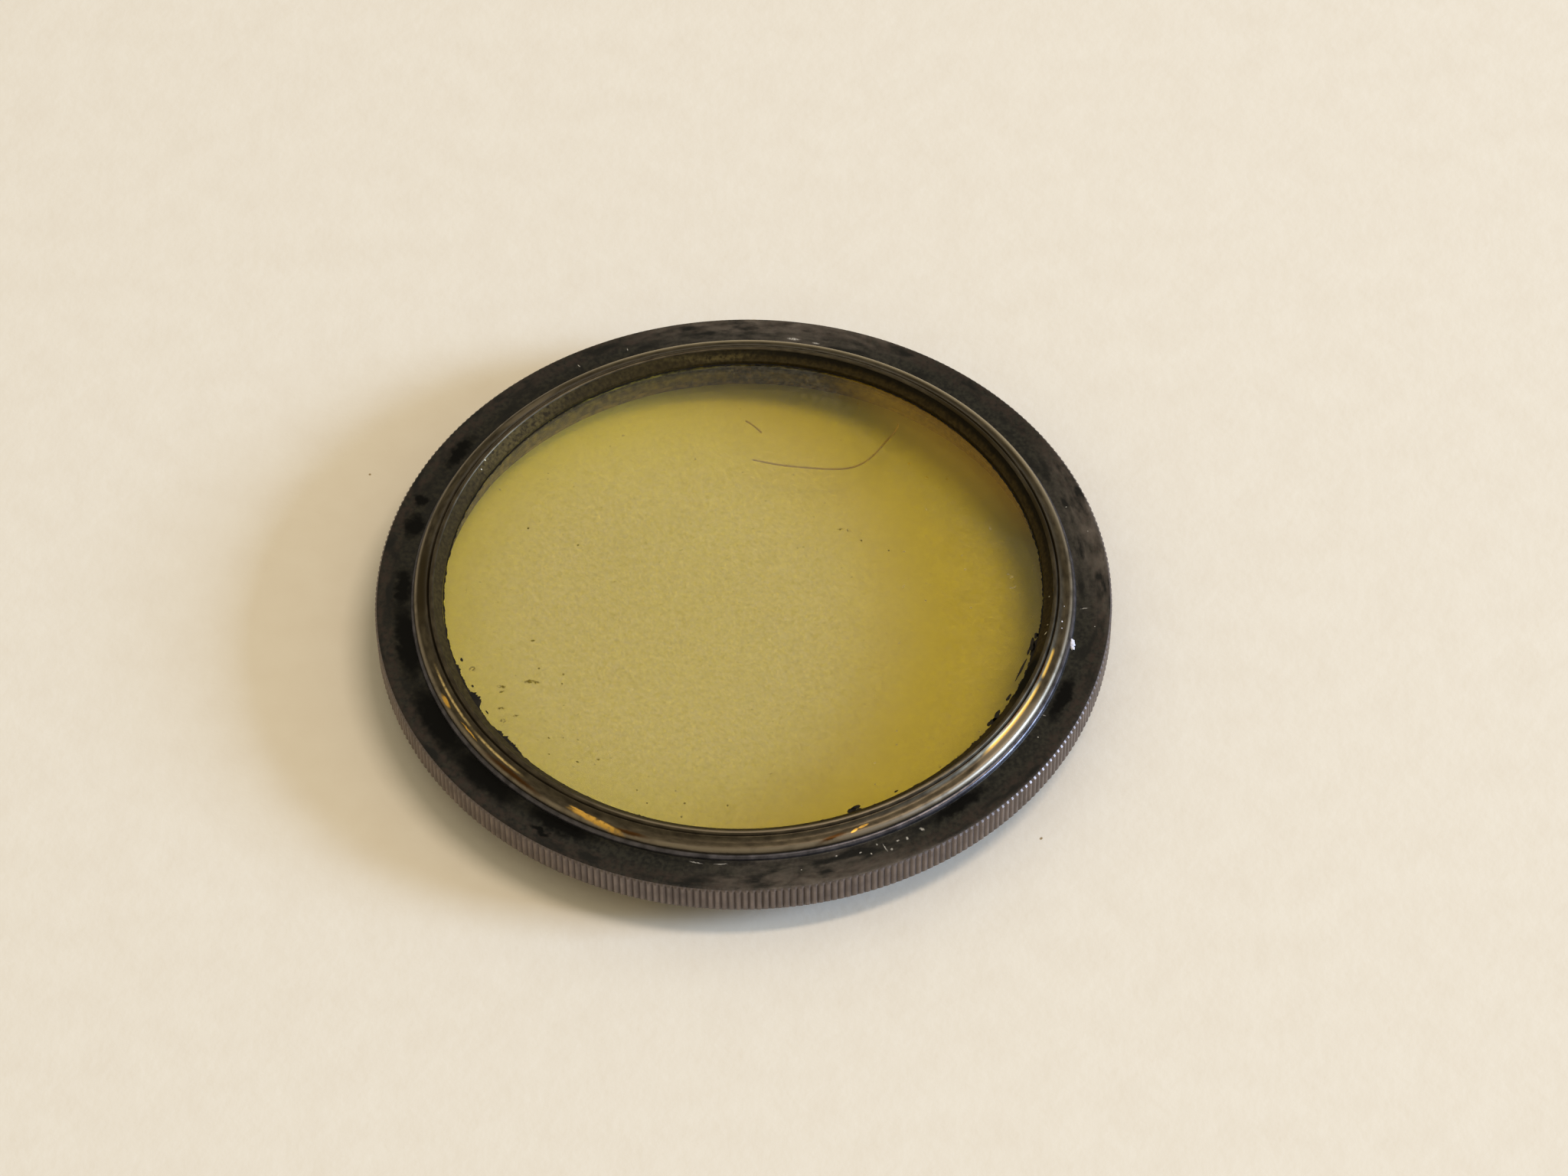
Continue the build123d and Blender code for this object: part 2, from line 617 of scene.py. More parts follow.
@dataclass(frozen=True)
class BurnishedBronze:
    """Turned brass, blacked thinly and polished by use: a grey-brown metal that mirrors softly.

    Bright brass shows in the cove of the collar and on a few rubbed patches. Some paler metal is
    painted highlight.
    """

    name: str = "blacked_brass_burnished"
    dark: str = "#39332A"
    pale: str = "#5C5445"
    shadowed: str = "#3C3424"
    edge: str = "#8F8473"
    far_edge: str = "#C4B79E"
    brass: str = "#E2B355"
    worn_brass: str = "#F0D69A"
    stain: str = "#4B3218"
    roughness: float = 0.42
    edge_radius: float = 19.42
    edge_reach: float = 0.17
    line_radius: float = 18.9
    line_reach: float = 0.11
    worn_line_radius: float = 18.97
    worn_line_reach: float = 0.1
    line_places: tuple[Mark, ...] = (
        Mark(18.9, -19.5, 1.0, 1.3),
        Mark(18.9, -33.5, 1.0, 3.6),
    )
    worn_line_places: tuple[Mark, ...] = (
        Mark(18.9, -139.0, 1.0, 2.6),
        Mark(18.9, -154.0, 0.8, 3.2),
    )
    brass_places: tuple[Mark, ...] = (
        Mark(19.14, -69.3, 0.09, 0.42, 6.0),
        Mark(19.24, -71.0, 0.09, 0.3, 20.0),
        Mark(19.08, -119.5, 0.09, 0.9, -4.0),
        Mark(19.26, -116.2, 0.22, 2.2, -5.0),
        Mark(19.3, -154.0, 0.13, 0.7),
        Mark(19.2, -146.0, 0.06, 1.0),
    )
    stains: tuple[Mark, ...] = (
        Mark(18.74, -33.0, 0.07, 2.4),
        Mark(18.7, -22.0, 0.1, 1.6),
        Mark(19.3, -75.0, 0.16, 1.2, 8.0),
        Mark(19.25, -134.0, 0.22, 3.4),
        Mark(19.3, -110.0, 0.18, 1.6),
    )
    far_edge_places: tuple[Mark, ...] = (Mark(28.0, 68.0, 24.0, 32.0),)
    # Painted highlight: a pale line along the bead's crest on the near side
    crest_radius: float = 18.44
    crest_reach: float = 0.1
    crest_highlight_places: tuple[Mark, ...] = (Mark(24.0, -84.0, 14.0, 20.0),)
    # Paler metal: painted highlight over the right side and in the low window's reflection at the
    # near right; the last two marks make the dome's edge paler at the near side and the far left
    highlight_and_wear_places: tuple[Mark, ...] = (
        Mark(26.0, 14.0, 7.4, 16.0),
        Mark(26.0, -8.0, 7.4, 10.0),
        Mark(19.15, -36.5, 0.5, 5.0),
        Mark(19.42, -101.0, 0.1, 3.2),
        Mark(19.0, 133.0, 0.3, 3.0),
    )
    shadowed_places: tuple[Mark, ...] = (
        Mark(18.95, 179.0, 0.55, 4.5),
        Mark(18.5, 42.0, 0.6, 9.0),
        Mark(18.5, 15.0, 0.45, 6.0),
    )

    def build(self) -> bpy.types.Material:
        """Build the finish."""
        material, tree, out = new_material(self.name)
        where = add_node(tree, "TexCoord").outputs["Object"]
        radius = radius_of(tree, where)
        ragged = roughed(tree, where, 0.3, 0.05)
        clouds = mottle(tree, drawn_round(tree, where, 19.1, 3.0), 0.8, 0.3, 0.7, detail=6.0)
        base = blend_colour(tree, clouds, self.dark, self.pale)
        # Painted highlight on the collar, with paler edges, in the edge colour
        pale = times(tree, marked(tree, ragged, self.highlight_and_wear_places, 0.4), 0.6)
        base = blend_colour(tree, pale, base, self.edge)
        shadowed = marked(tree, ragged, self.shadowed_places, 0.3)
        base = blend_colour(tree, shadowed, base, self.shadowed)
        edge = times(
            tree,
            ring_band(tree, radius, self.edge_radius, self.edge_reach),
            mottle(tree, where, 0.9, 0.15, 0.5, draw=7.0),
        )
        far_edge = times(
            tree,
            ring_band(tree, radius, self.edge_radius, 2 * self.edge_reach),
            marked(tree, where, self.far_edge_places, 0.6),
        )
        # Painted highlight along the bead's crest at the near side, joined with the worn shoulder
        # edge
        crest = times(
            tree,
            ring_band(tree, radius, self.crest_radius, self.crest_reach),
            marked(tree, where, self.crest_highlight_places, 0.6),
        )
        base = blend_colour(tree, larger(tree, edge, crest), base, self.edge)
        base = blend_colour(tree, far_edge, base, self.far_edge)
        base = blend_colour(tree, marked(tree, ragged, self.stains, 0.2), base, self.stain)
        broken = mottle(tree, where, 0.3, 0.25, 0.5, draw=4.0)
        worn_line = times(
            tree,
            ring_band(tree, radius, self.worn_line_radius, self.worn_line_reach),
            marked(tree, where, self.worn_line_places, 0.3),
        )
        base = blend_colour(tree, times(tree, worn_line, broken), base, self.worn_brass)
        line = times(
            tree,
            ring_band(tree, radius, self.line_radius, self.line_reach),
            marked(tree, where, self.line_places, 0.6),
        )
        rubbed = times(tree, marked(tree, ragged, self.brass_places), broken)
        base = blend_colour(tree, larger(tree, line, rubbed), base, self.brass)

        # Turning marks run round the axis, drawn 0.08 mm apart so that they show
        rings = add_node(
            tree,
            "TexNoise",
            {"W": radius, "Scale": 1 / (0.08 * MM), "Detail": 2.0},
            noise_dimensions="1D",
        ).outputs[0]
        bump = add_node(
            tree, "Bump", {"Height": rings, "Strength": 0.2, "Distance": 0.004 * MM}
        ).outputs[0]
        surface = add_node(
            tree,
            "BsdfPrincipled",
            {
                "Base Color": base,
                "Metallic": 1.0,
                "Roughness": self.roughness,
                "Normal": bump,
            },
        )
        tree.links.new(surface.outputs[0], out.inputs["Surface"])
        return material


@dataclass(frozen=True)
class LipPaint:
    """Thin matt paint on the sloped lip: dark olive, worn to a grey bloom and black in places."""

    name: str = "olive_black_paint_matt"
    olive: str = "#2A2212"
    bloom: str = "#564A2A"
    black: str = "#12100B"
    speck: str = "#C9C2AC"
    roughness: float = 0.62
    black_radii: tuple[float, float] = (18.0, 18.16)
    black_places: tuple[Mark, ...] = (Mark(28.0, 48.0, 23.0, 30.0),)
    blots: tuple[Mark, ...] = (Mark(18.45, 121.0, 0.25, 0.4), Mark(18.05, -24.0, 0.5, 2.5))
    bloom_places: tuple[Mark, ...] = (Mark(18.1, 140.0, 1.2, 7.0), Mark(18.0, 95.0, 0.2, 5.0))
    specks: tuple[Mark, ...] = (
        Mark(18.3, 148.0, 0.07, 0.06),
        Mark(18.15, 150.0, 0.05, 0.05),
        Mark(18.2, -13.0, 0.14, 0.04, 60.0),
        Mark(18.1, -4.0, 0.04, 0.04),
        Mark(18.2, -11.0, 0.05, 0.03),
    )

    def build(self) -> bpy.types.Material:
        """Build the finish."""
        material, tree, out = new_material(self.name)
        where = add_node(tree, "TexCoord").outputs["Object"]
        ragged = roughed(tree, where, 0.4, 0.12)
        fine = mottle(tree, where, 0.22, 0.35, 0.7, detail=6.0)
        base = blend_colour(tree, times(tree, fine, 0.35), self.olive, self.bloom)
        worn = times(tree, marked(tree, ragged, self.bloom_places, 0.2), fine)
        base = blend_colour(tree, worn, base, self.bloom)
        outward = add_node(
            tree,
            "MapRange",
            {
                "Value": radius_of(tree, ragged),
                "From Min": self.black_radii[0] * MM,
                "From Max": self.black_radii[1] * MM,
                "To Max": 0.85,
            },
        ).outputs[0]
        black = times(tree, outward, marked(tree, ragged, self.black_places, 0.6))
        black = larger(tree, black, marked(tree, ragged, self.blots))
        base = blend_colour(tree, black, base, self.black)
        base = blend_colour(tree, marked(tree, where, self.specks), base, self.speck)
        surface = add_node(
            tree,
            "BsdfPrincipled",
            {"Base Color": base, "Roughness": self.roughness, "Specular IOR Level": 0.05},
        )
        tree.links.new(surface.outputs[0], out.inputs["Surface"])
        return material


@dataclass(frozen=True)
class MattSurface:
    """Matt surface in two mottled tones: old paint, sawn metal, hair or dust, with painted glints
    where places for them are given.
    """

    name: str
    black: str = "#191611"
    worn: str = "#3A3122"
    patch: float = 0.8
    roughness: float = 0.6
    sheen: float = 0.2
    # Colour and places of painted glints
    bare: str = "#D8C98A"
    glint_places: tuple[Mark, ...] = ()

    def build(self) -> bpy.types.Material:
        """Build the finish."""
        material, tree, out = new_material(self.name)
        where = add_node(tree, "TexCoord").outputs["Object"]
        base = blend_colour(
            tree, mottle(tree, where, self.patch, 0.38, 0.66, detail=6.0), self.black, self.worn
        )
        # Painted glints: pale spots that stand for small highlights
        if self.glint_places:
            bare = marked(tree, where, self.glint_places)
            base = blend_colour(tree, bare, base, self.bare)
        surface = add_node(
            tree,
            "BsdfPrincipled",
            {
                "Base Color": base,
                "Roughness": self.roughness,
                "Specular IOR Level": self.sheen,
            },
        )
        tree.links.new(surface.outputs[0], out.inputs["Surface"])
        return material


@dataclass(frozen=True)
class WornThread:
    """Blacked brass whose thread crests are rubbed back to bright metal."""

    name: str = "blacked_brass_threaded"
    black: str = "#221E19"
    brass: str = "#9C7B39"
    crest_radius: float = 20.25
    bright_depth: float = 0.07
    roughness: float = 0.38

    def build(self) -> bpy.types.Material:
        """Build the finish."""
        material, tree, out = new_material(self.name)
        where = add_node(tree, "TexCoord").outputs["Object"]
        crest = add_node(
            tree,
            "MapRange",
            {
                "Value": radius_of(tree, where),
                "From Min": (self.crest_radius - self.bright_depth) * MM,
                "From Max": self.crest_radius * MM,
            },
        ).outputs[0]
        rubbed = times(tree, crest, mottle(tree, where, 1.2, 0.4, 0.55, draw=6.0))
        base = blend_colour(tree, rubbed, self.black, self.brass)
        surface = add_node(
            tree,
            "BsdfPrincipled",
            {"Base Color": base, "Metallic": 0.8, "Roughness": self.roughness},
        )
        tree.links.new(surface.outputs[0], out.inputs["Surface"])
        return material


@dataclass(frozen=True)
class YellowGlass:
    """Optical glass coloured through, polished: clear, glossy and deep yellow."""

    name: str = "yellow_optical_glass_polished"
    through: str = "#CEC665"
    lamp_tint: str = "#E5E0A2"

    def build(self) -> bpy.types.Material:
        """Build the finish."""
        material, tree, out = new_material(self.name)
        glass = add_node(
            tree,
            "BsdfPrincipled",
            {
                "Base Color": linear(self.through),
                "Roughness": 0.0,
                "IOR": 1.52,
                "Transmission Weight": 1.0,
            },
        )
        clear = add_node(tree, "BsdfTransparent", {"Color": linear(self.lamp_tint)})
        path = add_node(tree, "LightPath")

        # Rays from the lamps pass straight through, tinted, so that the paper below is lit
        both = add_node(
            tree,
            "MixShader",
            {0: path.outputs["Is Shadow Ray"], 1: glass.outputs[0], 2: clear.outputs[0]},
        )
        tree.links.new(both.outputs[0], out.inputs["Surface"])
        return material


@dataclass(frozen=True)
class GroundGlassEdge:
    """Ground rim of the glass, its black paint flaked so that the yellow shows through."""

    name: str = "glass_rim_ground_and_blacked"
    paint: str = "#2A2418"
    ground: str = "#8F8048"

    def build(self) -> bpy.types.Material:
        """Build the finish."""
        material, tree, out = new_material(self.name)
        where = add_node(tree, "TexCoord").outputs["Object"]
        flaked = mottle(tree, where, 0.9, 0.42, 0.62, detail=6.0)
        base = blend_colour(tree, flaked, self.paint, self.ground)
        surface = add_node(tree, "BsdfPrincipled", {"Base Color": base, "Roughness": 0.7})
        tree.links.new(surface.outputs[0], out.inputs["Surface"])
        return material


@dataclass(frozen=True)
class DustAndAmberLightFilm:
    """Old dust and haze on polished glass: a pale veil over the middle, wiped off at the right. An
    amber film towards the far right is painted light.

    Places are in millimetres on the glass.
    """

    name: str = "dust_haze_and_amber_light_on_glass"
    colour: str = "#DDCDA8"
    cover: float = 0.3
    hazed_places: tuple[Mark, ...] = (Mark(5.1, -154.6, 18.2, 21.7, 154.6),)
    # Painted light: a lit amber film over the far right
    amber_light: str = "#D8A82C"
    amber_light_cover: float = 0.19
    amber_light_places: tuple[Mark, ...] = (Mark(28.0, 42.0, 15.0, 24.0),)
    dirt: str = "#5C4C1E"
    dirt_cover: float = 0.8
    speckled_places: tuple[Mark, ...] = (Mark(14.0, -140.0, 5.0, 13.0),)
    smudges: tuple[Mark, ...] = (
        Mark(14.22, -151.6, 0.22, 0.5, 60.0),
        Mark(13.9, -150.5, 0.16, 0.3, 40.0),
        Mark(15.85, -153.3, 0.16, 0.42, 55.0),
        Mark(16.0, -152.0, 0.14, 0.3, 80.0),
        Mark(16.59, -148.3, 0.14, 0.4, 60.0),
        Mark(17.0, -145.5, 0.22, 0.26, 20.0),
        Mark(16.2, -145.0, 0.12, 0.3, 60.0),
        Mark(7.39, 37.8, 0.12, 0.3, 60.0),
        Mark(7.7, 35.0, 0.14, 0.22, 20.0),
        Mark(15.1, -123.8, 0.1, 0.2, 30.0),
        Mark(16.9, -160.0, 0.3, 0.3),
    )
    dots: tuple[Mark, ...] = (
        Mark(12.94, -163.3, 0.09, 0.2, 80.0),
        Mark(13.32, -154.2, 0.1, 0.1),
        Mark(12.27, -149.3, 0.1, 0.1),
        Mark(12.7, -146.8, 0.08, 0.09),
        Mark(15.74, -136.0, 0.07, 0.12),
        Mark(16.56, -133.0, 0.07, 0.1),
        Mark(15.94, -127.2, 0.08, 0.14),
        Mark(16.7, -109.6, 0.07, 0.09),
        Mark(16.14, -102.3, 0.1, 0.1),
        Mark(17.13, -102.2, 0.1, 0.08),
        Mark(16.03, -112.7, 0.07, 0.09),
        Mark(7.93, 27.1, 0.1, 0.12),
        Mark(9.13, 18.0, 0.09, 0.1),
        Mark(13.74, 159.2, 0.1, 0.12),
        Mark(10.46, 160.3, 0.1, 0.1),
        Mark(16.0, -93.5, 0.09, 0.1),
    )

    def build(self) -> bpy.types.Material:
        """Build the finish."""
        material, tree, out = new_material(self.name)
        where = add_node(tree, "TexCoord").outputs["Object"]
        wavy = roughed(tree, where, 4.0, 0.8)
        haze = times(tree, marked(tree, wavy, self.hazed_places, 0.4), self.cover)

        # Grains of dust, drawn 0.2 mm wide so that they show, and dull ones between them
        bright = mottle(tree, where, 0.2, 0.4, 0.75, detail=2.0, draw=9.0)
        dull = mottle(tree, where, 0.22, 0.48, 0.8, detail=2.0, draw=15.0)
        grains = add_node(
            tree, "MapRange", {"Value": bright, "To Min": 0.85, "To Max": 1.25}
        ).outputs[0]

        # Greasy smudges and dark specks lie in the dust, thickest at the near left
        near = marked(tree, where, self.speckled_places, 0.1)
        scattered = times(tree, near, mottle(tree, where, 0.14, 0.66, 0.74, detail=2.0, draw=11.0))
        everywhere = times(
            tree, mottle(tree, where, 0.3, 0.72, 0.78, detail=1.0, draw=13.0), 0.6
        )
        ragged = roughed(tree, where, 0.2, 0.1)
        smudged = times(
            tree,
            marked(tree, ragged, self.smudges, 0.3),
            mottle(tree, where, 0.16, 0.3, 0.5, detail=3.0, draw=12.0),
        )
        dots = marked(tree, where, self.dots, 0.4)
        dark = larger(tree, larger(tree, scattered, everywhere), larger(tree, smudged, dots))

        # Painted light towards the far right: a lit amber film stands in for lamp light on the paper
        # seen through the glass
        amber_light = times(tree, marked(tree, where, self.amber_light_places, 0.75), self.amber_light_cover)
        pale = times(tree, haze, grains)
        film = larger(tree, larger(tree, amber_light, pale), times(tree, bright, 0.08))
        amber_light_share = add_node(
            tree, "Math", {0: amber_light, 1: film}, operation="DIVIDE", use_clamp=True
        ).outputs[0]
        base = blend_colour(tree, amber_light_share, self.colour, self.amber_light)
        base = blend_colour(tree, times(tree, dull, 0.4), base, self.dirt)
        film = larger(tree, film, times(tree, dull, 0.1))
        surface = add_node(
            tree,
            "BsdfPrincipled",
            {
                "Base Color": blend_colour(tree, dark, base, self.dirt),
                "Roughness": 0.9,
                "Specular IOR Level": 0.0,
                "Alpha": larger(tree, film, times(tree, dark, self.dirt_cover)),
            },
        )
        tree.links.new(surface.outputs[0], out.inputs["Surface"])
        return material


@dataclass(frozen=True)
class Paper:
    """Uncoated cream paper: matt, faintly clouded, with a soft felt texture."""

    name: str = "cream_paper_uncoated"
    cream: str = "#EFE8DA"
    clouded: str = "#ECE4D5"
    speck: str = "#A08C6A"
    specks: tuple[Mark, ...] = (Mark(23.15, -42.2, 0.1, 0.14), Mark(26.21, 150.9, 0.1, 0.1))

    def build(self) -> bpy.types.Material:
        """Build the finish."""
        material, tree, out = new_material(self.name)
        where = add_node(tree, "TexCoord").outputs["Object"]
        base = blend_colour(tree, mottle(tree, where, 2.5, 0.35, 0.7), self.cream, self.clouded)
        base = blend_colour(tree, marked(tree, where, self.specks), base, self.speck)
        felt = add_node(
            tree, "TexNoise", {"Vector": where, "Scale": 1 / (0.7 * MM), "Detail": 4.0}
        ).outputs[0]
        bump = add_node(
            tree, "Bump", {"Height": felt, "Strength": 0.4, "Distance": 0.05 * MM}
        ).outputs[0]
        surface = add_node(
            tree,
            "BsdfPrincipled",
            {"Base Color": base, "Roughness": 0.9, "Specular IOR Level": 0.2, "Normal": bump},
        )
        tree.links.new(surface.outputs[0], out.inputs["Surface"])
        return material


@dataclass
class MountRing:
    """Turned mount in one piece: knurled flange, domed collar with a beaded lip, spigot.

    Sizes are in millimetres, and heights are from the rear face.
    """

    thread_radius: float = 20.25
    flange_radius: float = 21.85
    flange_bottom: float = 1.8
    flange_top: float = 3.8
    top_chamfer: float = 0.14
    bottom_chamfer: float = 0.25
    knurl_depth: float = 0.115
    teeth: int = 344
    bore_radius: float = 18.81
    collar_radius: float = 19.71
    wall_height: float = 0.11
    foot_rounding: float = 0.2
    foot_sweep: float = 78.0
    shoulder_radius: float = 19.54
    shoulder_height: float = 0.4
    shoulder_rounding: float = 0.38
    shoulder_sweep: float = 80.0
    dome_end: float = 19.02
    dome_height: float = 0.8
    cove_radius: float = 0.47
    cove_slopes: tuple[float, float] = (76.0, 32.0)
    bead_radius: float = 18.57
    bead_height: float = 1.12
    bead_width: float = 0.26
    bead_crown: float = 0.08
    groove_floor: float = 0.95
    lip_radius: float = 17.8
    lip_height: float = 0.57
    lip_thickness: float = 0.25
    glass_bottom: float = 2.12
    ring_height: float = 0.9
    ring_groove_depth: float = 0.25
    ring_clearance: float = 0.05
    thread_pitch: float = 0.5
    thread_depth: float = 0.27
    thread_end: float = 1.05
    lead_chamfer: float = 0.25
    thread_steps: int = 13
    thread_flank: float = 0.42
    relief_depth: float = 0.35
    relief_width: float = 0.4
    relief_face_depth: float = 0.1
    relief_face_reach: float = 0.2
    mouth_chamfer: float = 0.2
    edge_rounding: float = 0.05
    fillet: float = 0.05
    tooth_wear: float = 0.02
    doublings: int = 3

    def wall_line(self) -> list[tuple[float, float]]:
        """Points up the collar's low wall and over the first of its two roundings."""
        top = self.flange_top + self.wall_height
        centre = (self.collar_radius - self.foot_rounding, top)
        rounding = arc(centre, self.foot_rounding, 0, self.foot_sweep, 8)
        groove = (self.shoulder_radius - 0.03, self.flange_top + self.shoulder_height - 0.07)
        return rounding + [groove]

    def collar_line(self) -> list[tuple[float, float]]:
        """Points over the shoulder and the dome's cove to the bead's inner side."""
        height = self.flange_top + self.shoulder_height
        centre = (self.shoulder_radius - self.shoulder_rounding, height)
        shoulder = arc(centre, self.shoulder_rounding, 0, self.shoulder_sweep, 12)
        start = shoulder[-1]
        end = (self.dome_end, self.flange_top + self.dome_height)
        dome = [((start[0] + end[0]) / 2, (start[1] + end[1]) / 2 + 0.003), end]

        # The cove is hollow, so that its slope steepens towards the bead
        first, last = (math.radians(slope) for slope in self.cove_slopes)
        cove = []
        for i in range(1, 8):
            slope = first + (last - first) * i / 7
            cove.append(
                (
                    end[0] - self.cove_radius * (math.cos(slope) - math.cos(first)),
                    end[1] + self.cove_radius * (math.sin(first) - math.sin(slope)),
                )
            )
        ridge = (cove[-1][0] - 0.03, cove[-1][1] + 0.01)
        top = self.flange_top + self.bead_height
        groove = (self.bead_radius + 0.06, self.flange_top + self.groove_floor)
        middle = self.bead_radius - self.bead_width / 2
        rise = self.bead_crown
        bead = [
            (middle + self.bead_width / 2 * math.cos(a), top - rise + rise * math.sin(a))
            for a in (math.pi * i / 8 for i in range(9))
        ]
        return shoulder + dome + cove + [ridge, groove] + bead

    def lip_line(self, start: tuple[float, float]) -> list[tuple[float, float]]:
        """Points of the sloped inner face, from the bead down to the lip's edge."""
        edge_top = self.flange_top + self.lip_height
        rounding = self.edge_rounding
        end = (self.lip_radius + rounding, edge_top)
        slope = [
            (start[0] + (end[0] - start[0]) * i / 5, start[1] + (end[1] - start[1]) * i / 5)
            for i in range(5)
        ]
        corner = arc((self.lip_radius + rounding, edge_top - rounding), rounding, 110, 180, 3)
        return slope + corner + [(self.lip_radius, edge_top - self.lip_thickness)]

    def outline(self) -> dict[Zone, list[tuple[float, float]]]:
        """Radius and height along each stretch of the outline, in order round the section."""
        root = self.knurl_depth
        flange = self.flange_radius
        top = self.flange_top
        bottom = self.flange_bottom
        fillet = self.fillet
        rounding = self.edge_rounding
        knurl = [
            (flange - self.bottom_chamfer, bottom),
            (flange - root, bottom + self.bottom_chamfer - root),
            (flange, bottom + self.bottom_chamfer),
            (flange, top - self.top_chamfer),
            (flange - self.top_chamfer + rounding / 2, top - rounding / 2),
        ]
        face = [
            knurl[-1],
            (flange - self.top_chamfer - rounding / 2, top),
            (flange - self.top_chamfer - 0.2, top),
            (self.collar_radius + fillet + 0.1, top),
        ]
        face += arc((self.collar_radius + fillet, top + fillet), fillet, 270, 180, 4)
        wall = [face[-1]] + self.wall_line()
        collar = [wall[-1]] + self.collar_line()
        lip = self.lip_line(collar[-1])
        glass_top = top + self.lip_height - self.lip_thickness
        groove = self.bore_radius + self.ring_groove_depth
        groove_top = self.glass_bottom + self.ring_clearance
        groove_bottom = self.glass_bottom - self.ring_height - self.ring_clearance
        mouth = self.mouth_chamfer
        bore = [
            lip[-1],
            (self.bore_radius, glass_top),
            (self.bore_radius, groove_top),
            (groove, groove_top),
            (groove, groove_bottom),
            (self.bore_radius, groove_bottom),
            (self.bore_radius, mouth),
            (self.bore_radius + mouth, 0.0),
        ]
        thread = [
            (
                self.thread_radius,
                self.lead_chamfer + (self.thread_end - self.lead_chamfer) * i / self.thread_steps,
            )
            for i in range(self.thread_steps + 1)
        ]
        relief = self.thread_radius - self.relief_depth
        seat = self.thread_radius + self.relief_face_reach
        spigot = [bore[-1], (self.thread_radius - self.lead_chamfer, 0.0)] + thread
        spigot += [
            (relief, bottom - self.relief_width),
            (relief, bottom + self.relief_face_depth),
            (seat, bottom + self.relief_face_depth),
            (seat, bottom),
            knurl[0],
        ]
        return {
            Zone.KNURL: knurl,
            Zone.FLANGE: face,
            Zone.WALL: wall,
            Zone.COLLAR: collar,
            Zone.LIP: lip,
            Zone.BORE: bore,
            Zone.SPIGOT: spigot,
        }

    def cut_knurl(self, bm: bmesh.types.BMesh) -> None:
        """Sink every third column of the flange's edge to the bottom of a V groove."""
        columns = 3 * self.teeth
        root = (self.flange_radius - self.knurl_depth) * MM
        for vert in bm.verts:
            radius = math.hypot(vert.co.x, vert.co.y)
            if radius <= root:
                continue
            turn = math.atan2(vert.co.y, vert.co.x) / math.tau * columns - 0.5
            wear = self.tooth_wear * MM * (0.5 + 0.5 * noise.noise(vert.co * 900 + Vector((7, 0, 0))))
            target = root if round(turn) % 3 == 1 else max(root, radius - wear)
            vert.co.x *= target / radius
            vert.co.y *= target / radius

    def cut_thread(self, bm: bmesh.types.BMesh) -> None:
        """Cut the fine screw thread into the spigot as a helical V."""
        for vert in bm.verts:
            radius = math.hypot(vert.co.x, vert.co.y)
            height = vert.co.z / MM
            inside = self.lead_chamfer - 1e-4 <= height <= self.thread_end + 1e-4
            if not inside or abs(radius / MM - self.thread_radius) > 1e-3:
                continue
            turn = math.atan2(vert.co.y, vert.co.x) / math.tau
            phase = (height / self.thread_pitch - turn) % 1.0
            valley = max(0.0, 1 - abs(phase - 0.5) / self.thread_flank)
            target = radius - self.thread_depth * MM * valley
            vert.co.x *= target / radius
            vert.co.y *= target / radius

    def build(self, finishes: dict[Zone, bpy.types.Material]) -> bpy.types.Object:
        """Build the mount.

        Args:
            finishes: the finish of each zone.

        Returns:
            The finished piece.
        """
        bm = bmesh.new()
        columns = 3 * self.teeth
        sectors = 2**self.doublings
        for zone, points in self.outline().items():
            turn_line(
                bm,
                points,
                columns // sectors,
                start=math.pi / columns,
                sweep=math.tau / sectors,
                material=zone.value,
            )
        repeat_round(bm, self.doublings)
        self.cut_knurl(bm)
        self.cut_thread(bm)
        bmesh.ops.recalc_face_normals(bm, faces=bm.faces)
        shade(bm)
        for face in bm.faces:
            if face.material_index == Zone.KNURL.value:
                face.smooth = False
        ordered = [finishes[zone] for zone in Zone]
        return piece_from(bm, "turned_mount", ordered, ("mount_ring",))


@dataclass
class FilterGlass:
    """Flat coloured disc with ground bevels. Sizes in millimetres."""

    radius: float = 18.73
    bottom: float = 2.12
    thickness: float = 2.0
    bevel: float = 0.25
    segments: int = 360

    def build(
        self, glass: bpy.types.Material, rim: bpy.types.Material
    ) -> bpy.types.Object:
        """Build the glass.

        Args:
            glass: finish of the two polished faces.
            rim: finish of the ground edge and bevels.

        Returns:
            The finished piece.
        """
        bm = bmesh.new()
        bmesh.ops.create_circle(
            bm,
            cap_ends=True,
            segments=self.segments,
            radius=self.radius * MM,
            matrix=Matrix.Translation((0, 0, self.bottom * MM)),
        )
        grown = bmesh.ops.extrude_face_region(bm, geom=list(bm.faces))
        lifted = [v for v in grown["geom"] if isinstance(v, bmesh.types.BMVert)]
        bmesh.ops.translate(bm, verts=lifted, vec=(0, 0, self.thickness * MM))
        corners = [e for e in bm.edges if len({round(v.co.z, 7) for v in e.verts}) == 1]
        bmesh.ops.bevel(
            bm,
            geom=corners,
            offset=self.bevel * MM,
            segments=1,
            profile=0.5,
            affect="EDGES",
            material=-1,
        )
        bmesh.ops.recalc_face_normals(bm, faces=bm.faces)
        for face in bm.faces:
            face.material_index = 0 if abs(face.normal.z) > 0.99 else 1
        shade(bm)
        return piece_from(bm, "coloured_glass", [glass, rim], ("filter_glass",))


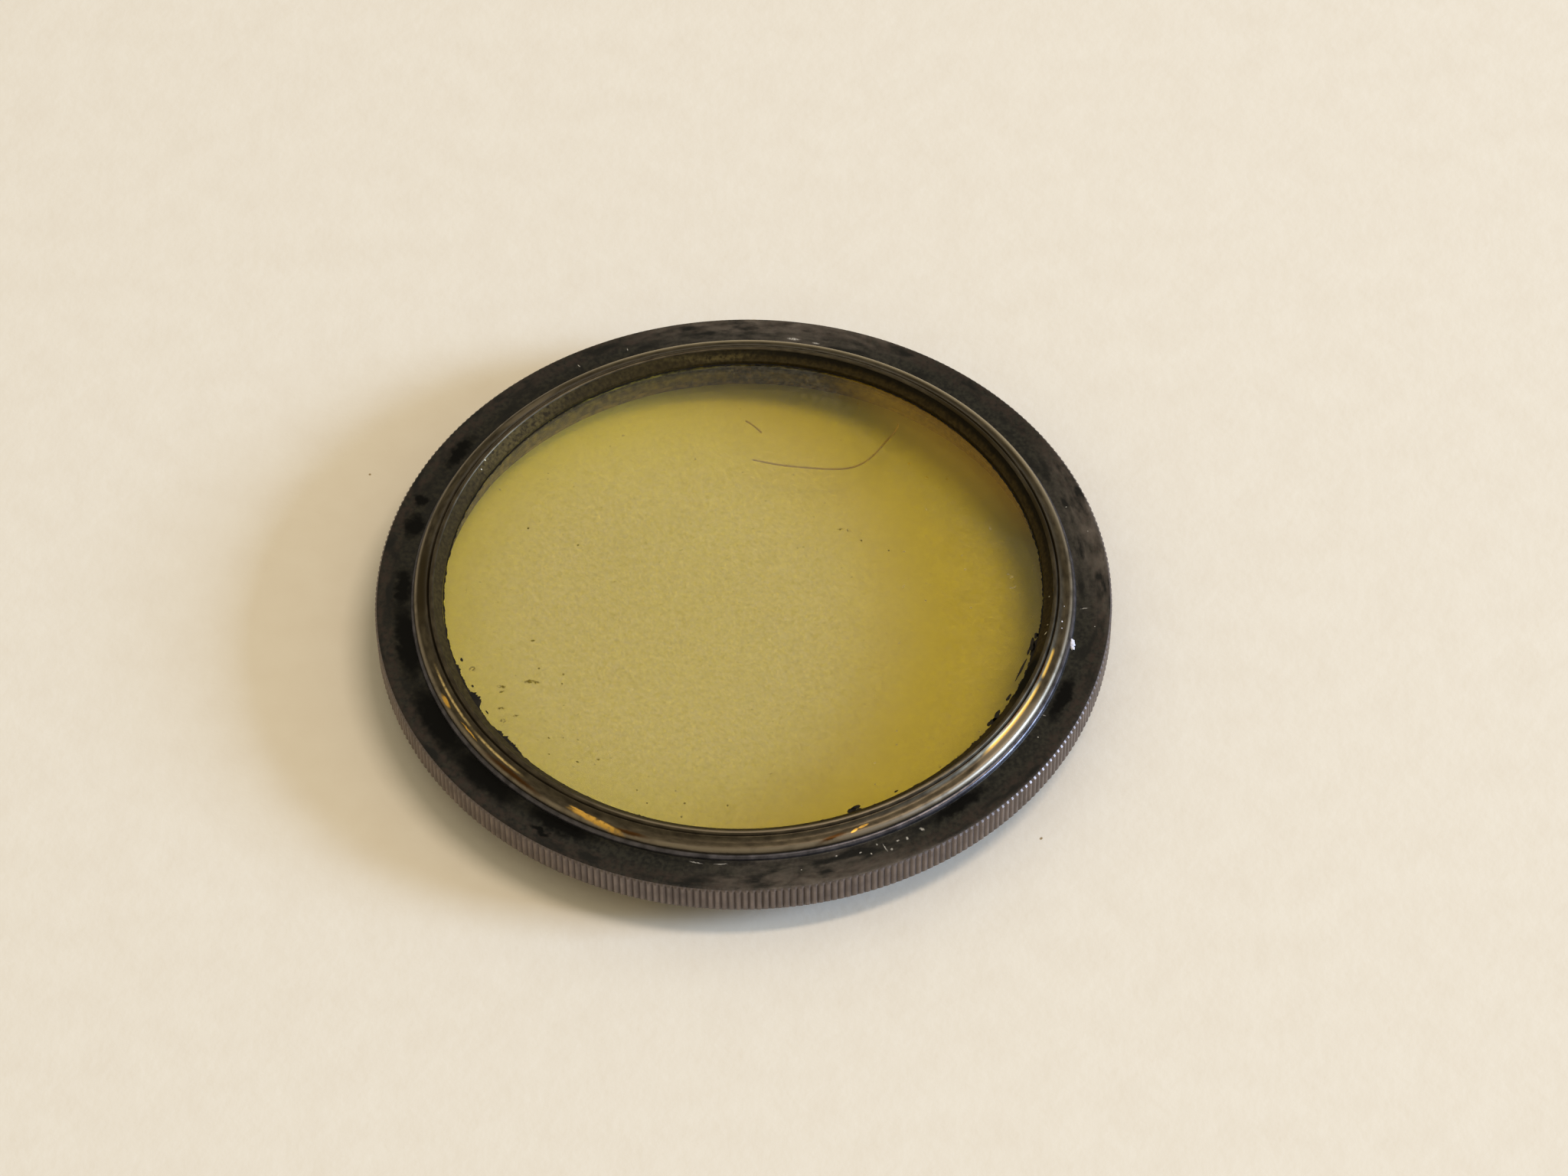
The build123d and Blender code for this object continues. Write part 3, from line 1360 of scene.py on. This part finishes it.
@dataclass
class SpringRing:
    """Split ring that holds the glass from behind. Sizes in millimetres."""

    inner: float = 18.2
    outer: float = 19.01
    bottom: float = 1.22
    height: float = 0.9
    gap: float = 1.1
    chamfer: float = 0.1
    steps: int = 300

    def build(self, finish: bpy.types.Material, bare: bpy.types.Material) -> bpy.types.Object:
        """Build the ring.

        Args:
            finish: finish of the ring.
            bare: bare metal of its sawn ends.

        Returns:
            The finished piece.
        """
        bm = bmesh.new()
        top = self.bottom + self.height
        section = [
            (self.inner + self.chamfer, self.bottom),
            (self.outer, self.bottom),
            (self.outer, top),
            (self.inner + self.chamfer, top),
            (self.inner, top - self.chamfer),
            (self.inner, self.bottom + self.chamfer),
        ]
        half_gap = self.gap / 2 / self.inner
        turn_line(
            bm,
            section,
            self.steps,
            start=math.pi / 2 + half_gap,
            sweep=math.tau - 2 * half_gap,
            closed=True,
        )
        ends = bmesh.ops.holes_fill(bm, edges=[e for e in bm.edges if e.is_boundary], sides=6)
        for face in ends["faces"]:
            face.material_index = 1
        bmesh.ops.recalc_face_normals(bm, faces=bm.faces)
        shade(bm)
        return piece_from(bm, "split_spring_ring", [finish, bare], ("retaining_ring",))


@dataclass
class EdgePaint:
    """Black paint that was run round the glass against the lip and has flaked at its inner edge.

    Sizes in millimetres.
    """

    outer: float = 17.79
    surface: float = 4.12
    thickness: float = 0.012
    width: float = 0.09
    least_width: float = 0.02
    raggedness: float = 0.8
    columns: int = 1440
    doublings: int = 3
    thick_places: tuple[tuple[float, float, float], ...] = (
        (-15.5, 3.0, 0.08),
        (-34.5, 1.2, 0.1),
        (-41.0, 3.0, 0.08),
        (-69.0, 1.3, 0.1),
        (-110.0, 2.0, 0.06),
        (-141.0, 3.5, 0.16),
        (-153.0, 2.0, 0.28),
        (-160.0, 2.5, 0.12),
    )
    flakes: tuple[Mark, ...] = (
        Mark(17.56, -15.0, 0.14, 0.5, 8.0),
        Mark(17.44, -16.5, 0.07, 0.4),
        Mark(17.42, -21.0, 0.06, 0.9, -3.0),
        Mark(17.6, -12.5, 0.12, 0.2),
        Mark(17.55, -28.5, 0.08, 0.25),
        Mark(17.6, -33.5, 0.14, 0.4, 10.0),
        Mark(17.58, -35.5, 0.1, 0.3),
        Mark(17.44, -60.0, 0.07, 0.16),
        Mark(17.42, -68.6, 0.12, 0.28),
        Mark(17.55, -69.6, 0.14, 0.3),
        Mark(17.35, -156.0, 0.06, 0.1),
        Mark(17.45, -149.0, 0.05, 0.16),
        Mark(17.3, -163.0, 0.08, 0.14),
    )

    def width_at(self, angle: float) -> float:
        """Mean width of the paint at an angle in degrees, in millimetres."""
        width = self.width
        for middle, reach, more in self.thick_places:
            width += more * math.exp(-(((angle - middle) / reach) ** 2))
        return width

    def build(self, finish: bpy.types.Material) -> bpy.types.Object:
        """Build the film of paint with its loose flakes."""
        bm = bmesh.new()
        low = self.surface + 0.002
        sectors = 2**self.doublings
        line = [(self.outer - 0.3, low), (self.outer, low)]
        turn_line(bm, line, self.columns // sectors, start=0.0, sweep=math.tau / sectors)
        repeat_round(bm, self.doublings)
        edge_radius = (self.outer - 0.15) * MM
        for vert in bm.verts:
            radius = math.hypot(vert.co.x, vert.co.y)
            if radius > edge_radius:
                continue
            angle = math.degrees(math.atan2(vert.co.y, vert.co.x))
            ragged = noise.fractal(vert.co.normalized() * 50, 0.6, 2.0, 6)
            width = self.width_at(angle) * (1 + self.raggedness * ragged)
            target = (self.outer - max(self.least_width, width)) * MM
            vert.co.x *= target / radius
            vert.co.y *= target / radius
        for flake in self.flakes:
            x, y = flake.place()
            turn = Matrix.Rotation(math.radians(flake.angle + flake.turn), 4, "Z")
            size = Matrix.Diagonal((flake.along, flake.across, 1.0, 1.0))
            round_it = bmesh.ops.create_circle(
                bm,
                cap_ends=True,
                segments=20,
                radius=MM,
                matrix=Matrix.Translation((x, y, low * MM)) @ turn @ size,
            )
            for vert in round_it["verts"]:
                away = vert.co - Vector((x, y, low * MM))
                vert.co += away * 0.45 * noise.noise(vert.co / MM * 5)
        grown = bmesh.ops.extrude_face_region(bm, geom=list(bm.faces))
        lifted = [v for v in grown["geom"] if isinstance(v, bmesh.types.BMVert)]
        bmesh.ops.translate(bm, verts=lifted, vec=(0, 0, self.thickness * MM))
        bmesh.ops.recalc_face_normals(bm, faces=bm.faces)
        shade(bm)
        return piece_from(bm, "flaked_edge_paint", [finish])


@dataclass
class Fibres:
    """Hairs and lint caught on the filter. Points are x, y and height in millimetres."""

    radius: float = 0.06
    under_glass: float = 2.07
    hair: tuple[tuple[float, float], ...] = (
        (0.6, 11.05),
        (1.1, 10.9),
        (2.2, 10.6),
        (3.5, 10.4),
        (4.85, 10.24),
        (6.3, 10.2),
        (7.2, 10.55),
        (7.9, 11.2),
        (8.4, 11.9),
        (8.85, 12.55),
        (9.35, 13.2),
        (9.5, 13.7),
    )
    lint: tuple[tuple[float, float], ...] = ((0.2, 14.15), (0.6, 13.9), (1.15, 13.2))

    def build(self, finish: bpy.types.Material) -> bpy.types.Object:
        """Build the hair and the lint as thin round threads under the glass."""
        curve = bpy.data.curves.new("fibres", "CURVE")
        curve.dimensions = "3D"
        curve.bevel_depth = self.radius * MM
        curve.bevel_resolution = 1
        for points in (self.hair, self.lint):
            spline = curve.splines.new("NURBS")
            spline.points.add(len(points) - 1)
            for point, (x, y) in zip(spline.points, points):
                point.co = (x * MM, y * MM, self.under_glass * MM, 1.0)
            spline.order_u = 3
            spline.use_endpoint_u = True
        drawn = bpy.data.objects.new("fibres", curve)
        mesh = bpy.data.meshes.new_from_object(drawn)
        bpy.data.objects.remove(drawn)
        bpy.data.curves.remove(curve)
        bm = bmesh.new()
        bm.from_mesh(mesh)
        bpy.data.meshes.remove(mesh)
        shade(bm, 80.0)
        return piece_from(bm, "hair_and_lint", [finish])


@dataclass
class Crumbs:
    """Small pale crumbs lying on the mount: radius, angle, height and size, in millimetres."""

    places: tuple[tuple[float, float, float, float], ...] = (
        (19.76, -12.5, 3.9, 0.2),
        (19.72, -12.0, 3.95, 0.16),
        (19.84, -13.2, 3.84, 0.14),
        (18.98, -9.5, 4.6, 0.05),
        (19.05, -11.0, 4.6, 0.035),
        (19.02, -6.0, 4.6, 0.03),
    )

    def build(self, finish: bpy.types.Material) -> bpy.types.Object:
        """Build the crumbs as small flattened lumps."""
        bm = bmesh.new()
        for radius, angle, height, size in self.places:
            x, y = Mark(radius, angle, size, size).place()
            centre = Vector((x, y, height * MM))
            lump = bmesh.ops.create_icosphere(
                bm, subdivisions=3, radius=size * MM, matrix=Matrix.Translation(centre)
            )
            for vert in lump["verts"]:
                away = vert.co - centre
                swell = 1 + 0.5 * noise.noise(vert.co / (size * MM) * 1.3)
                vert.co = centre + away * swell * Vector((1.0, 1.0, 0.6))
        bmesh.ops.recalc_face_normals(bm, faces=bm.faces)
        shade(bm, 80.0)
        return piece_from(bm, "pale_crumbs", [finish])


@dataclass
class DustAndAmberLightLayer:
    """Thin layer of dust, with painted amber light at the far right, on the glass inside the lip.
    Sizes in millimetres.
    """

    radius: float = 17.7
    height: float = 4.122

    def build(self, finish: bpy.types.Material) -> bpy.types.Object:
        """Build the layer."""
        bm = bmesh.new()
        bmesh.ops.create_circle(
            bm,
            cap_ends=True,
            segments=180,
            radius=self.radius * MM,
            matrix=Matrix.Translation((0, 0, self.height * MM)),
        )
        return piece_from(bm, "dust_and_amber_light_layer", [finish])


@dataclass
class Studio:
    """Paper, lamps and camera.

    The camera's angles and place come from rings of the filter fitted to the photograph, which
    is 2048 by 1536 pixels.
    """

    image_width: int = 2048
    focal_pixels: float = 7000.0
    sensor: float = 36.0
    elevation: float = 50.95
    roll: float = -0.69
    camera_place: tuple[float, float, float] = (2.411, -199.981, 250.689)
    paper_side: float = 3000.0

    def place_camera(self) -> bpy.types.Object:
        """Make the camera that looks as the photograph's did."""
        data = bpy.data.cameras.new("camera")
        data.sensor_width = self.sensor
        data.lens = self.focal_pixels / self.image_width * self.sensor
        data.clip_start, data.clip_end = 0.01, 20.0
        camera = bpy.data.objects.new("camera", data)
        bpy.context.scene.collection.objects.link(camera)
        tilt = Matrix.Rotation(math.radians(90 - self.elevation), 4, "X")
        roll = Matrix.Rotation(math.radians(self.roll), 4, "Z")
        place = Matrix.Translation(Vector(self.camera_place) * MM)
        camera.matrix_world = place @ tilt @ roll
        bpy.context.scene.camera = camera
        return camera

    def lay_paper(self, finish: bpy.types.Material) -> bpy.types.Object:
        """Lay the paper that the filter lies on."""
        bm = bmesh.new()
        bmesh.ops.create_grid(bm, x_segments=1, y_segments=1, size=self.paper_side / 2 * MM)
        mesh = bpy.data.meshes.new("paper")
        bm.to_mesh(mesh)
        bm.free()
        mesh.materials.append(finish)
        paper = bpy.data.objects.new("paper", mesh)
        bpy.context.scene.collection.objects.link(paper)
        return paper

    def hang_lamp(
        self,
        name: str,
        azimuth: float,
        elevation: float,
        distance: float,
        size: tuple[float, float],
        power: float,
        colour: str,
    ) -> bpy.types.Object:
        """Hang a rectangular softbox that faces the filter.

        Args:
            name: name of the lamp.
            azimuth: degrees from +X towards +Y.
            elevation: degrees above the paper.
            distance: metres from the filter.
            size: width across and height, in metres.
            power: watts.
            colour: sRGB hex.

        Returns:
            The lamp.
        """
        data = bpy.data.lights.new(name, "AREA")
        data.shape = "RECTANGLE"
        data.size, data.size_y = size
        data.energy = power
        data.color = linear(colour)[:3]
        lamp = bpy.data.objects.new(name, data)
        bpy.context.scene.collection.objects.link(lamp)
        a, e = math.radians(azimuth), math.radians(elevation)
        toward = Vector((math.cos(a) * math.cos(e), math.sin(a) * math.cos(e), math.sin(e)))
        lamp.location = toward * distance
        lamp.rotation_euler = toward.to_track_quat("Z", "Y").to_euler()
        return lamp

    def light(self) -> None:
        """Light the filter with a high lamp, a low window and a warm room."""
        self.hang_lamp("high_lamp", 5.0, 70.0, 1.2, (0.12, 0.54), 4.4, "#FFECD8")
        self.hang_lamp("low_window", -5.0, 19.0, 1.5, (0.44, 0.38), 27.0, "#BFD9FF")
        world = bpy.data.worlds.new("room")
        world.use_nodes = True
        tree = world.node_tree
        tree.nodes.clear()
        room = add_node(tree, "Background", {"Color": linear("#FFF2D1"), "Strength": 0.5})
        out = add_node(tree, "OutputWorld")
        tree.links.new(room.outputs[0], out.inputs["Surface"])
        bpy.context.scene.world = world


def main() -> None:
    """Build the pieces, dress them and set the studio up round them."""
    logging.basicConfig(level=logging.INFO, format="%(name)s: %(message)s")
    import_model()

    finishes = {
        Zone.KNURL: BlackedKnurl().build(),
        Zone.FLANGE: BlackedFlange().build(),
        Zone.WALL: BluedWall().build(),
        Zone.COLLAR: BurnishedBronze().build(),
        Zone.LIP: LipPaint().build(),
        Zone.BORE: MattSurface("black_paint_matt", "#332B12", "#8E7834", 0.5).build(),
        Zone.SPIGOT: WornThread().build(),
    }
    MountRing().build(finishes)
    FilterGlass().build(YellowGlass().build(), GroundGlassEdge().build())
    SpringRing().build(
        MattSurface(
            "spring_brass_blacked_painted_glint",
            "#2E2712",
            "#6E5F34",
            0.4,
            # Painted glint on the ring's inner corner beside the gap
            glint_places=(Mark(18.36, 91.9, 0.12, 0.12),),
        ).build(),
        MattSurface("spring_brass_sawn", "#B08A3A", "#7A6230", roughness=0.3).build(),
    )
    EdgePaint().build(MattSurface("black_paint_flaked", "#0F0D0A", "#241E15", 0.4).build())
    Fibres().build(MattSurface("hair_brown", "#9A7C36", "#B09350").build())
    Crumbs().build(MattSurface("white_dust", "#F1EEF2", "#D8D4DC").build())
    DustAndAmberLightLayer().build(DustAndAmberLightFilm().build())

    studio = Studio()
    studio.place_camera()
    studio.lay_paper(Paper().build())
    studio.light()
    bpy.context.scene.view_settings.view_transform = "Standard"


if __name__ == "__main__":
    main()
